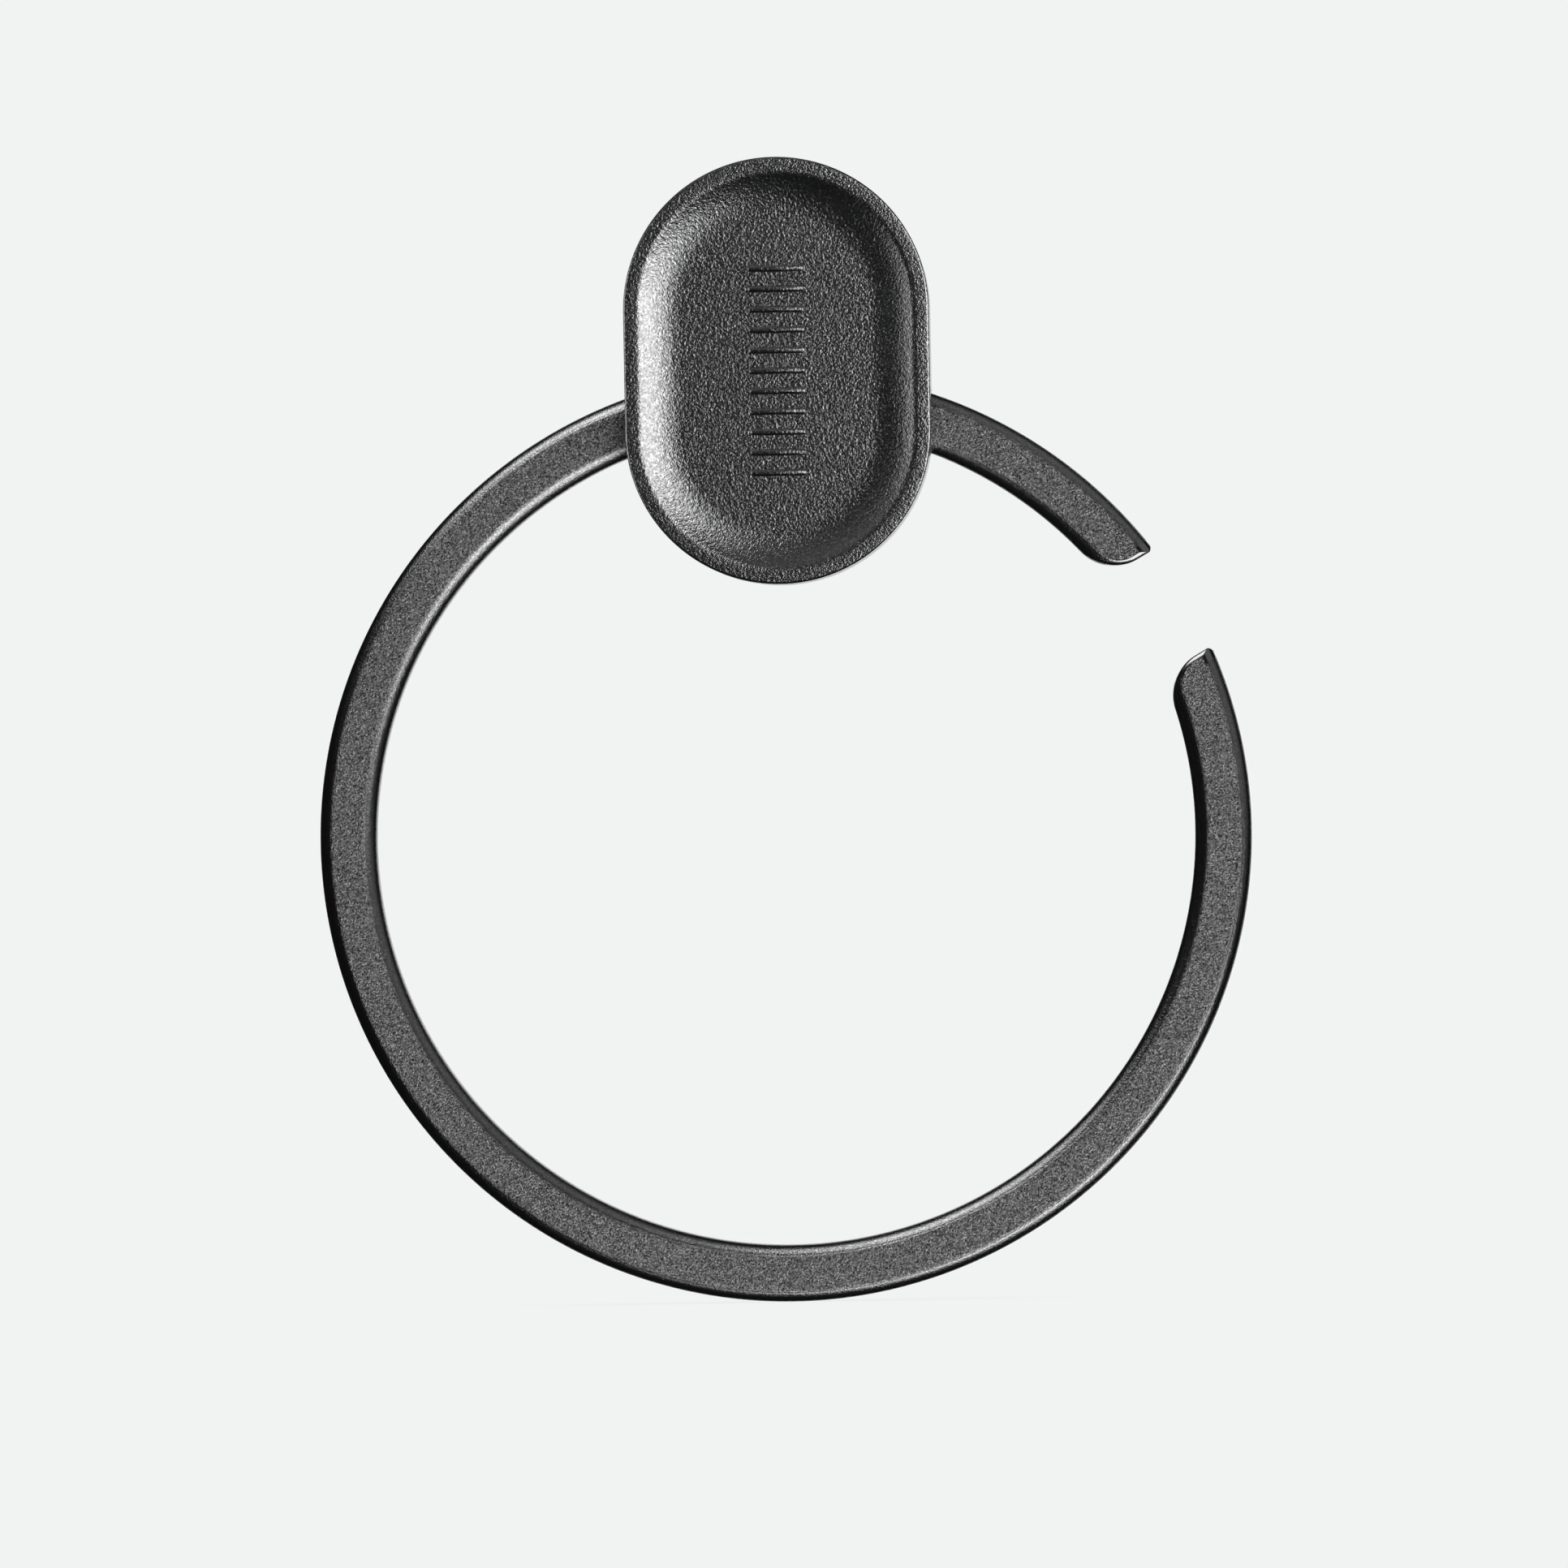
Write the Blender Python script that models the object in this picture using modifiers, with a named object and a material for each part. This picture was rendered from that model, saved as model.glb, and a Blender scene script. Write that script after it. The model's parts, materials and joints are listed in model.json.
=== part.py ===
"""Split key ring with a pinch grip.

A flat band, bent round to a C, turns through a pill-shaped grip. The grip is two
dished shells on four dowels. Turned one way the band's split is open for keys;
turned the other way the split is inside the grip, where a sprung latch fills it.

Everything is modelled in the face frame: origin on the band's axis, +X to the
right, +Y up and +Z towards the front. One empty stands that frame upright, so in
world space the front faces -Y and the band's lowest point is at z = 0.
"""

import bmesh
import bpy
from math import atan2, cos, pi, radians, sin, sqrt
from mathutils import Vector

# Driving dimensions, in metres ------------------------------------------------

BAND_OUTER_R = 0.01600
BAND_INNER_R = 0.01405
BAND_THICKNESS = 0.00190
BAND_EDGE_R = 0.00050  # rounding of the front and back edges
SPLIT_ANGLE = radians(30)  # where the split stands when it is open for keys
SPLIT_WIDTH = 0.00384
TIP_R = 0.00019  # the ends' outer corners
LEAD_IN_R = 0.00159  # the ends' inner corners, which push the latch down
LEAST_CORNER_R = 0.00002  # what a corner keeps where the rounded edge reaches the flat face

GRIP_ANGLE = radians(90)  # the grip stands on top of the band
GRIP_CENTRE_Y = 0.01595
GRIP_END_R = 0.00524
GRIP_STRAIGHT = 0.00416  # between the two round ends
GRIP_THICKNESS = 0.00540
GRIP_EDGE_R = 0.00012
RIM_WIDTH = 0.00049
DISH_DEPTH = 0.00035
DISH_WALL_ANGLE = radians(25.5)  # how steeply the dish leaves the rim
SEAM_GAP = 0.00004  # between the two shells

CHANNEL_CLEARANCE = 0.00010  # between the band's edges and the shells
LINER_THICKNESS = 0.00025
LINER_CLEARANCE = 0.00005
LINER_HALF_ANGLE = radians(18)

DOWEL_R = 0.00050
DOWEL_LENGTH = 0.00300
DOWEL_CLEARANCE = 0.00003
DOWEL_CHAMFER = 0.00012
DOWELS = {  # face-frame places
    "dowel_upper_left": (-0.00270, 0.01860),
    "dowel_upper_right": (0.00270, 0.01860),
    "dowel_lower_left": (-0.00375, 0.01190),
    "dowel_lower_right": (0.00375, 0.01190),
}

LATCH_TRAVEL = 0.00040
LATCH_WIDTH = 0.00510
LATCH_BOTTOM_Y = 0.01190
LATCH_TOP_Y = 0.01290
LATCH_DEPTH = 0.00170
LATCH_CLEARANCE = 0.00010
LATCH_EDGE = 0.00012
BLADE_DEPTH = 0.00090
BLADE_TIP_R = 0.01397  # the blade's top follows the band, just inside it
BLADE_TIP_HALF = 0.00200
BLADE_ROOT_HALF = 0.00240
BLADE_SHOULDER = 0.00047  # height of the blade's sloping sides
NOTCH_CLEARANCE = 0.00012

POCKET_FLOOR_Y = 0.01040
SPRING_X = 0.00150
SPRING_WIRE_R = 0.00010
SPRING_MEAN_R = 0.00050
SPRING_TURNS = 3
SPRING_END_GAP = 0.00003
PEG_R = 0.00027
PEG_LENGTH = 0.00060

# Facets -----------------------------------------------------------------------

BAND_STEPS = 72
GRIP_STEPS = 20  # round each end of the grip
CORNER_STEPS = 8
EDGE_STEPS = 4
DISH_STEPS = 6
CHANNEL_STEPS = 96
SMALL_ROUND_STEPS = 20
SPRING_STEPS = 12  # round one turn
WELD = 1e-7

STEEL = ("black_pvd_steel", (0.075, 0.075, 0.078), 0.42, 0.90)
CASTING = ("charcoal_casting", (0.060, 0.060, 0.063), 0.55, 0.65)
ACETAL = ("black_acetal", (0.012, 0.012, 0.012), 0.40, 0.0)
BRIGHT_STEEL = ("bright_steel", (0.56, 0.56, 0.57), 0.30, 1.0)


# Scene ------------------------------------------------------------------------

def clear_scene():
    for item in list(bpy.data.objects):
        bpy.data.objects.remove(item, do_unlink=True)


def new_collection(name):
    collection = bpy.data.collections.new(name)
    bpy.context.scene.collection.children.link(collection)
    return collection


def face_frame(collection):
    """The upright frame on the band's axis, which every piece hangs from."""
    frame = bpy.data.objects.new("band_axis", None)
    frame.location = (0, 0, BAND_OUTER_R)
    frame.rotation_euler = (pi / 2, 0, 0)
    frame.empty_display_size = BAND_OUTER_R / 2
    collection.objects.link(frame)
    return frame


def material(name, colour, roughness, metallic):
    made = bpy.data.materials.get(name) or bpy.data.materials.new(name)
    made.use_nodes = True
    shader = made.node_tree.nodes["Principled BSDF"]
    shader.inputs["Base Color"].default_value = (*colour, 1)
    shader.inputs["Roughness"].default_value = roughness
    shader.inputs["Metallic"].default_value = metallic
    return made


def add_object(name, data, place=(0, 0, 0)):
    """A piece or a cutter, hung from the face frame."""
    made = bpy.data.objects.new(name, data)
    made.parent = FRAME
    made.location = place
    PARTS.objects.link(made)
    return made


def finish(piece, look):
    """Gives a piece its material and smooth shading with crisp edges."""
    piece.data.materials.clear()
    piece.data.materials.append(material(*look))
    piece.data.shade_smooth()
    piece.data.set_sharp_from_angle(angle=radians(35))
    return piece


def as_cutter(piece):
    """Moves an object to the cutters, where it is seen as wires only."""
    PARTS.objects.unlink(piece)
    CUTTERS.objects.link(piece)
    piece.hide_render = True
    piece.display_type = "WIRE"
    return piece


def boolean(piece, operation, other):
    step = piece.modifiers.new(f"{operation.lower()}_{other.name}", "BOOLEAN")
    step.operation = operation
    step.object = other
    step.solver = "EXACT"


# Shapes -----------------------------------------------------------------------

def arc(centre, radius, start, end, steps):
    """Points along an arc, both ends included."""
    turns = [start + (end - start) * i / steps for i in range(steps + 1)]
    return [Vector((centre[0] + radius * cos(a), centre[1] + radius * sin(a))) for a in turns]


def turned(points, angle):
    return [Vector((p.x * cos(angle) - p.y * sin(angle), p.x * sin(angle) + p.y * cos(angle)))
            for p in points]


def flat_plate(name, outline, depth, place=(0, 0, 0)):
    """A plate from an outline, centred on the face plane."""
    curve = bpy.data.curves.new(name + "_outline", "CURVE")
    curve.dimensions = "2D"
    curve.fill_mode = "BOTH"
    curve.extrude = depth / 2
    spline = curve.splines.new("POLY")
    spline.points.add(len(outline) - 1)
    for point, at in zip(spline.points, outline):
        point.co = (at[0], at[1], 0, 1)
    spline.use_cyclic_u = True
    return meshed(name, curve, place)


def meshed(name, curve, place=(0, 0, 0)):
    """Turns a curve into a mesh object with its caps welded on."""
    guide = add_object(name + "_guide", curve, place)
    bpy.context.view_layer.update()
    evaluated = guide.evaluated_get(bpy.context.evaluated_depsgraph_get())
    mesh = bpy.data.meshes.new_from_object(evaluated)
    bpy.data.objects.remove(guide)
    weld(mesh)
    return add_object(name, mesh, place)


def weld(mesh):
    shape = bmesh.new()
    shape.from_mesh(mesh)
    bmesh.ops.remove_doubles(shape, verts=shape.verts, dist=WELD)
    bmesh.ops.recalc_face_normals(shape, faces=shape.faces)
    shape.to_mesh(mesh)
    shape.free()


def loft(name, rings):
    """A closed solid through matching rings of points, with flat ends."""
    shape = bmesh.new()
    loops = [[shape.verts.new(point) for point in ring] for ring in rings]
    for low, high in zip(loops, loops[1:]):
        for i in range(len(low)):
            j = (i + 1) % len(low)
            shape.faces.new((low[i], low[j], high[j], high[i]))
    shape.faces.new(loops[0])
    shape.faces.new(loops[-1])
    bmesh.ops.recalc_face_normals(shape, faces=shape.faces)
    mesh = bpy.data.meshes.new(name)
    shape.to_mesh(mesh)
    shape.free()
    return add_object(name, mesh)


def box(name, size, centre):
    shape = bmesh.new()
    bmesh.ops.create_cube(shape, size=1.0)
    bmesh.ops.scale(shape, vec=size, verts=shape.verts)
    mesh = bpy.data.meshes.new(name)
    shape.to_mesh(mesh)
    shape.free()
    return add_object(name, mesh, centre)


def cylinder(name, radius, length, centre, along="Z"):
    shape = bmesh.new()
    bmesh.ops.create_cone(shape, cap_ends=True, segments=SMALL_ROUND_STEPS,
                          radius1=radius, radius2=radius, depth=length)
    mesh = bpy.data.meshes.new(name)
    shape.to_mesh(mesh)
    shape.free()
    made = add_object(name, mesh, centre)
    if along == "Y":
        made.rotation_euler = (pi / 2, 0, 0)
    return made


def rounded_edge(radius, top):
    """(inset, height) from an upright side up round its edge to the flat face at top."""
    turns = [pi / 2 * i / EDGE_STEPS for i in range(EDGE_STEPS + 1)]
    return [(radius * (1 - cos(a)), top - radius * (1 - sin(a))) for a in turns]


def bevel(piece, width):
    step = piece.modifiers.new("edges", "BEVEL")
    step.width = width
    step.segments = 1
    step.limit_method = "ANGLE"
    step.angle_limit = radians(40)


# Band -------------------------------------------------------------------------

def split_end(inset):
    """One end of the band, from its inner edge round to its outer edge.

    The split's centre line is +X here, and the end lies above it. The end face is
    parallel to that line, with a large lead-in corner inside and a small one outside.
    """
    face = SPLIT_WIDTH / 2 + inset
    lead_in = LEAD_IN_R - inset
    tip = max(TIP_R - inset, LEAST_CORNER_R)
    inner_r = BAND_INNER_R + inset
    outer_r = BAND_OUTER_R - inset
    lead_x = sqrt((inner_r + lead_in) ** 2 - (face + lead_in) ** 2)
    tip_x = sqrt((outer_r - tip) ** 2 - (face + tip) ** 2)
    lead_angle = atan2(face + lead_in, lead_x)
    tip_angle = atan2(face + tip, tip_x)
    inner = arc((lead_x, face + lead_in), lead_in, pi + lead_angle, 1.5 * pi, CORNER_STEPS)
    outer = arc((tip_x, face + tip), tip, -pi / 2, tip_angle, CORNER_STEPS)
    return inner + outer, lead_angle, tip_angle


def band_outline(inset):
    """The C-shaped outline, drawn in from the real edge by inset."""
    end, inner_angle, outer_angle = split_end(inset)
    mirrored = [Vector((p.x, -p.y)) for p in reversed(end)]
    outer = arc((0, 0), BAND_OUTER_R - inset, outer_angle, 2 * pi - outer_angle, BAND_STEPS)
    inner = arc((0, 0), BAND_INNER_R + inset, 2 * pi - inner_angle, inner_angle, BAND_STEPS)
    return turned(end + outer[1:-1] + mirrored + inner[1:-1], SPLIT_ANGLE)


def blade_outline(clearance, top_r, bottom_y):
    """The latch blade's face, or with a clearance the notch that it rises into."""
    tip_half = BLADE_TIP_HALF + clearance
    root_half = BLADE_ROOT_HALF + clearance
    spread = atan2(tip_half, sqrt(top_r ** 2 - tip_half ** 2))
    top = arc((0, 0), top_r, pi / 2 - spread, pi / 2 + spread, CORNER_STEPS)
    shoulder_y = top[0].y - BLADE_SHOULDER
    right = [Vector((root_half, bottom_y)), Vector((root_half, shoulder_y))]
    left = [Vector((-p.x, p.y)) for p in reversed(right)]
    return right + top + left


def make_band():
    front = rounded_edge(BAND_EDGE_R, BAND_THICKNESS / 2)
    back = [(inset, -height) for inset, height in reversed(front)]
    sections = [(band_outline(inset), height) for inset, height in back + front]
    band = loft("split_band", [[Vector((p.x, p.y, z)) for p in ring] for ring, z in sections])
    notch_top_r = BLADE_TIP_R + LATCH_TRAVEL + NOTCH_CLEARANCE
    outline = blade_outline(NOTCH_CLEARANCE, notch_top_r, BAND_INNER_R - 2 * BLADE_SHOULDER)
    notch = as_cutter(flat_plate("notch", outline, BLADE_DEPTH + 2 * NOTCH_CLEARANCE))
    boolean(band, "DIFFERENCE", notch)
    return finish(band, STEEL)


# Grip -------------------------------------------------------------------------

def pill(inset, z):
    """The grip's outline at a height, drawn in by inset."""
    radius = GRIP_END_R - inset
    top = arc((0, GRIP_CENTRE_Y + GRIP_STRAIGHT / 2), radius, 0, pi, GRIP_STEPS)
    bottom = arc((0, GRIP_CENTRE_Y - GRIP_STRAIGHT / 2), radius, pi, 2 * pi, GRIP_STEPS)
    return [Vector((p.x, p.y, z)) for p in top + bottom]


def shell_profile():
    """(inset, height) from the seam up the side, over the rim and down to the dish floor."""
    top = GRIP_THICKNESS / 2
    dish_r = DISH_DEPTH / (1 - cos(DISH_WALL_ANGLE))
    floor_inset = RIM_WIDTH + dish_r * sin(DISH_WALL_ANGLE)
    profile = [(0.0, SEAM_GAP / 2), *rounded_edge(GRIP_EDGE_R, top)]
    for i in range(DISH_STEPS + 1):
        a = DISH_WALL_ANGLE * (1 - i / DISH_STEPS)
        profile.append((floor_inset - dish_r * sin(a), top - DISH_DEPTH + dish_r * (1 - cos(a))))
    return profile


def make_grip_cutters():
    """What is hollow inside the closed grip. Both shells are cut by the same shapes."""
    half_depth = BAND_THICKNESS / 2 + LINER_THICKNESS + 2 * LINER_CLEARANCE
    inner_r = BAND_INNER_R - CHANNEL_CLEARANCE
    outer_r = BAND_OUTER_R + CHANNEL_CLEARANCE
    mesh = bpy.data.meshes.new("channel")
    corners = [(outer_r, half_depth), (outer_r, -half_depth),
               (inner_r, -half_depth), (inner_r, half_depth)]
    mesh.from_pydata([(x, 0, z) for x, z in corners], [(0, 1), (1, 2), (2, 3), (3, 0)], [])
    channel = add_object("channel", mesh)
    screw = channel.modifiers.new("turn", "SCREW")
    screw.axis = "Z"
    screw.steps = CHANNEL_STEPS
    screw.render_steps = CHANNEL_STEPS
    screw.use_merge_vertices = True
    screw.merge_threshold = WELD

    pocket_top = LATCH_TOP_Y + LATCH_TRAVEL + LATCH_CLEARANCE / 4
    pocket_size = (LATCH_WIDTH + 3 * LATCH_CLEARANCE, pocket_top - POCKET_FLOOR_Y,
                   LATCH_DEPTH + 2 * LATCH_CLEARANCE)
    pocket = box("latch_pocket", pocket_size, (0, (pocket_top + POCKET_FLOOR_Y) / 2, 0))
    slot_size = (2 * BLADE_ROOT_HALF + 2 * LATCH_CLEARANCE, 2 * BLADE_SHOULDER,
                 BLADE_DEPTH + LATCH_CLEARANCE)
    slot = box("blade_slot", slot_size, (0, pocket_top + BLADE_SHOULDER / 2, 0))
    bores = [cylinder("bore_" + name, DOWEL_R + DOWEL_CLEARANCE,
                      DOWEL_LENGTH + 2 * DOWEL_CHAMFER, (x, y, 0))
             for name, (x, y) in DOWELS.items()]
    return [as_cutter(cutter) for cutter in [channel, pocket, slot, *bores]]


def make_shell(name, side, cutters):
    """side is +1 for the front shell and -1 for the back one."""
    shell = loft(name, [pill(inset, side * height) for inset, height in shell_profile()])
    for cutter in cutters:
        boolean(shell, "DIFFERENCE", cutter)
    return finish(shell, CASTING)


def make_liner(name, side):
    """A thin strip that keeps the band off the shell."""
    inner_r = BAND_INNER_R - CHANNEL_CLEARANCE / 2
    outer_r = BAND_OUTER_R + CHANNEL_CLEARANCE / 2
    low, high = GRIP_ANGLE - LINER_HALF_ANGLE, GRIP_ANGLE + LINER_HALF_ANGLE
    outline = (arc((0, 0), outer_r, low, high, CORNER_STEPS)
               + arc((0, 0), inner_r, high, low, CORNER_STEPS))
    height = BAND_THICKNESS / 2 + LINER_CLEARANCE + LINER_THICKNESS / 2
    return finish(flat_plate(name, outline, LINER_THICKNESS, place=(0, 0, side * height)), ACETAL)


def make_dowels():
    for name, (x, y) in DOWELS.items():
        dowel = cylinder(name, DOWEL_R, DOWEL_LENGTH, (x, y, 0))
        bevel(dowel, DOWEL_CHAMFER)
        finish(dowel, BRIGHT_STEEL)


# Latch ------------------------------------------------------------------------

def make_latch():
    """A block with a thin blade on top and two pegs below, one inside each spring."""
    middle_y = (LATCH_BOTTOM_Y + LATCH_TOP_Y) / 2
    latch = box("latch", (LATCH_WIDTH, LATCH_TOP_Y - LATCH_BOTTOM_Y, LATCH_DEPTH), (0, middle_y, 0))
    bevel(latch, LATCH_EDGE)
    blade = flat_plate("latch_blade", blade_outline(0, BLADE_TIP_R, middle_y), BLADE_DEPTH)
    boolean(latch, "UNION", as_cutter(blade))
    for side, x in (("left", -SPRING_X), ("right", SPRING_X)):
        peg_centre = (x, LATCH_BOTTOM_Y, 0)
        peg = cylinder(f"latch_peg_{side}", PEG_R, 2 * PEG_LENGTH, peg_centre, along="Y")
        boolean(latch, "UNION", as_cutter(peg))
    return finish(latch, BRIGHT_STEEL)


def make_spring(name, x):
    """A coil spring between the pocket's floor and the latch."""
    low = POCKET_FLOOR_Y + SPRING_END_GAP + SPRING_WIRE_R
    high = LATCH_BOTTOM_Y - SPRING_END_GAP - SPRING_WIRE_R
    steps = SPRING_TURNS * SPRING_STEPS
    curve = bpy.data.curves.new(name + "_wire", "CURVE")
    curve.dimensions = "3D"
    curve.bevel_depth = SPRING_WIRE_R
    curve.bevel_resolution = 2
    curve.use_fill_caps = True
    spline = curve.splines.new("POLY")
    spline.points.add(steps)
    for i, point in enumerate(spline.points):
        a = 2 * pi * i / SPRING_STEPS
        y = low + (high - low) * i / steps
        point.co = (SPRING_MEAN_R * cos(a), y, SPRING_MEAN_R * sin(a), 1)
    return finish(meshed(name, curve, (x, 0, 0)), BRIGHT_STEEL)


clear_scene()
PARTS = new_collection("split_key_ring")
CUTTERS = new_collection("cutters")
FRAME = face_frame(PARTS)

make_band()
grip_cutters = make_grip_cutters()
make_shell("grip_front_shell", 1, grip_cutters)
make_shell("grip_back_shell", -1, grip_cutters)
make_liner("liner_front", 1)
make_liner("liner_back", -1)
make_dowels()
make_latch()
make_spring("latch_spring_left", -SPRING_X)
make_spring("latch_spring_right", SPRING_X)
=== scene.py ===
"""Looks of the split key ring: the coated band, the dished grip and its hidden latch.

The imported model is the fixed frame. The band and both grip shells are remade here with
fine, smooth surfaces in the places the frame gives; the liners, dowels and latch keep
their own shapes and take a finish.
"""

import json
from math import atan2, cos, pi, radians, sin, sqrt, tan

import bmesh
import bpy
from bpy.props import FloatProperty, FloatVectorProperty, IntProperty, PointerProperty
from mathutils import Euler, Matrix, Vector


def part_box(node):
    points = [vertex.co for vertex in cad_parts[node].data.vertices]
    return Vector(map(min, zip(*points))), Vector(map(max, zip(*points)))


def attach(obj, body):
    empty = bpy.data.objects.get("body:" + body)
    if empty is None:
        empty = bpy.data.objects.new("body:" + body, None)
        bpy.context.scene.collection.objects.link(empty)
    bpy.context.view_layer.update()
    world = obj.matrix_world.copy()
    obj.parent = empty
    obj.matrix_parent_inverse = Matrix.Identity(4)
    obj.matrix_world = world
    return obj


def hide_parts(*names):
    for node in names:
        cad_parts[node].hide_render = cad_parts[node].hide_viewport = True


bl_info = {
    "name": "Split Key Ring",
    "version": (1, 0, 0),
    "blender": (4, 5, 0),
    "location": "3D View > Sidebar > Key Ring",
    "description": "Builds a coated split key ring with a turning band and a dished grip",
    "category": "Add Mesh",
}

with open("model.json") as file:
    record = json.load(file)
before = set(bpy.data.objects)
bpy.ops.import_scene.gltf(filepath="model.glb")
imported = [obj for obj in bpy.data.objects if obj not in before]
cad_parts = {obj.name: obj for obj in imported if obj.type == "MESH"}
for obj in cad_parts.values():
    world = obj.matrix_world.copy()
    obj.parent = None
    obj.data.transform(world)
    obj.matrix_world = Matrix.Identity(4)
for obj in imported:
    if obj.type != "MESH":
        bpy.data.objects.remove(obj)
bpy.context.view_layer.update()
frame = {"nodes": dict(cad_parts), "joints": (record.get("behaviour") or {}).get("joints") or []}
MM = 0.001
WELD = 1e-7  # points nearer than this are one point

# Places and sizes that the frame settles ---------------------------------------

JOINTS = {joint["name"]: joint for joint in frame["joints"]}
AXIS = Vector(JOINTS["band_turn"]["pos_m"])
LATCH_TRAVEL = JOINTS["latch_slide"]["range_m"][1]
BAND_LOW, BAND_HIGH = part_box("split_band")
SHELL_LOW, SHELL_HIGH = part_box("grip_front_shell")
LATCH_LOW, LATCH_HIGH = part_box("latch")
LINER_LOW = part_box("liner_front")[0]
SPRING_LOW, SPRING_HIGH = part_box("latch_spring_left")
DOWELS = ["dowel_upper_left", "dowel_upper_right", "dowel_lower_left", "dowel_lower_right"]
SHELL_CENTRE_Z = (SHELL_LOW.z + SHELL_HIGH.z) / 2


def size(name, default, about):
    return FloatProperty(name=name, description=about, default=default, unit="LENGTH",
                         subtype="DISTANCE", precision=5)


def turn(name, default, about):
    return FloatProperty(name=name, description=about, default=radians(default),
                         subtype="ANGLE")


def colour(name, default, about):
    return FloatVectorProperty(name=name, description=about, default=default, size=3,
                               subtype="COLOR", min=0, max=1)


def share(name, default, about):
    return FloatProperty(name=name, description=about, default=default, min=0, max=1,
                         subtype="FACTOR")


def count(name, default, about):
    return IntProperty(name=name, description=about, default=default, min=1)


class KeyRingBand(bpy.types.PropertyGroup):
    """Sizes of the C-shaped band."""
    outer_r: size("Outer Radius", AXIS.z, "Centre to the band's outer edge")
    inner_r: size("Inner Radius", 14.05 * MM, "Centre to the band's inner edge")
    thickness: size("Thickness", BAND_HIGH.y - BAND_LOW.y, "Front face to back face")
    edge_r: size("Edge Radius", 0.53 * MM, "Rounding of the front and back edges")
    outer_edge: size("Outer Edge", 0.46 * MM, "Width of the rounding at the outer edge")
    split_width: size("Split Width", 3.84 * MM, "Distance between the two end faces")
    split_angle: turn("Split Angle", 30, "Where the split stands, from the right")
    tip_r: size("Tip Radius", 0.19 * MM, "The ends' outer corners")
    lead_in_r: size("Lead-in Radius", 1.59 * MM, "The ends' inner corners")
    least_r: size("Least Radius", 0.02 * MM, "What an outer corner keeps on the flat face")
    lead_in_keep: size("Lead-in on Face", 0.80 * MM, "What an inner corner keeps on the flat face")
    chamfer: size("End Chamfer", 0.165 * MM, "Width of the bevel along the end faces")
    chamfer_start: turn("Chamfer Start", 15, "How steeply the bevel leaves the flat face")
    chamfer_end: turn("Chamfer End", 44, "How steeply the bevel meets the end face")
    chamfer_soft: size("Chamfer Softness", 0.03 * MM, "Rounding between bevel and end face")
    notch_half: size("Notch Half Width", 2.12 * MM, "Half width of the latch notch's roof")
    notch_clearance: size("Notch Clearance", 0.12 * MM, "Room round the blade in its notch")
    round_steps: count("Round Steps", 360, "Facets round the band")
    corner_steps: count("Corner Steps", 20, "Facets in a corner")
    edge_steps: count("Edge Steps", 12, "Facets in a rounded edge")


class KeyRingGrip(bpy.types.PropertyGroup):
    """Sizes of the two dished shells."""
    end_r: size("End Radius", SHELL_HIGH.x, "Radius of the round ends")
    straight: size("Straight", SHELL_HIGH.z - SHELL_LOW.z - 2 * SHELL_HIGH.x,
                   "Straight stretch between the round ends")
    face: size("Face Height", -SHELL_LOW.y, "Middle of the grip to its rim")
    seam: size("Seam", -0.15 * SHELL_HIGH.y, "Half the gap between the shells")
    edge_r: size("Edge Radius", 0.09 * MM, "Rounding of the rim's outer edge")
    seam_bevel: size("Seam Bevel", 0.05 * MM, "Rounding of the edge at the seam")
    rim_width: size("Rim Width", 0.525 * MM, "Outer edge to the start of the dish")
    crown_width: size("Crown Width", 0.30 * MM, "Width of the rim's gently falling part")
    crown_fall: size("Crown Fall", 0.006 * MM, "How far the rim falls towards its outer edge")
    crown_r: size("Crown Radius", 2 * MM, "Rounding where the rim starts to fall")
    lip_r: size("Lip Radius", 0.5 * MM, "Rounding where the rim turns into the dish")
    dish_depth: size("Dish Depth", 0.35 * MM, "Rim to the floor of the dish")
    wall_angle: turn("Wall Angle", 25.5, "How steeply the dish leaves the rim")
    dowel_room: size("Dowel Room", 0.03 * MM, "Room round the dowels in their bores")
    liner_room: size("Liner Room", 0.05 * MM, "Room over the liners and the raised latch")
    band_room: size("Band Room", 0.10 * MM, "Room round the band's edges and the latch")
    round_steps: count("Round Steps", 240, "Facets round the grip")
    edge_steps: count("Edge Steps", 14, "Facets in each bend")


class KeyRingRibs(bpy.types.PropertyGroup):
    """The row of fine raised ribs on the floor of the front dish."""
    number: count("Number", 11, "Ribs in the row")
    pitch: size("Pitch", 0.70 * MM, "Distance from rib to rib")
    length: size("Length", 1.95 * MM, "Length of a rib")
    width: size("Width", 0.24 * MM, "Width of a rib")
    height: size("Height", 0.09 * MM, "How far a rib stands proud of the floor")


class KeyRingLatch(bpy.types.PropertyGroup):
    """Sizes of the latch and of the two coil springs under it."""
    peg_length: size("Peg Length", 0.6 * MM, "The pegs that the springs stand round")
    body_height: size("Body Height", 1.0 * MM, "The latch's block, from its pegs to its blade")
    blade_width: size("Blade Width", 4.8 * MM, "The blade's foot, from left to right")
    blade_thickness: size("Blade Thickness", 0.9 * MM, "The blade, from front to back")
    slot_height: size("Slot Height", 1.2 * MM, "The blade's slot in the grip, up to the channel")
    wire_r: size("Wire Radius", 0.1 * MM, "Radius of the spring wire")
    turns: FloatProperty(name="Turns", description="Turns of each spring", default=3.0)


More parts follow.
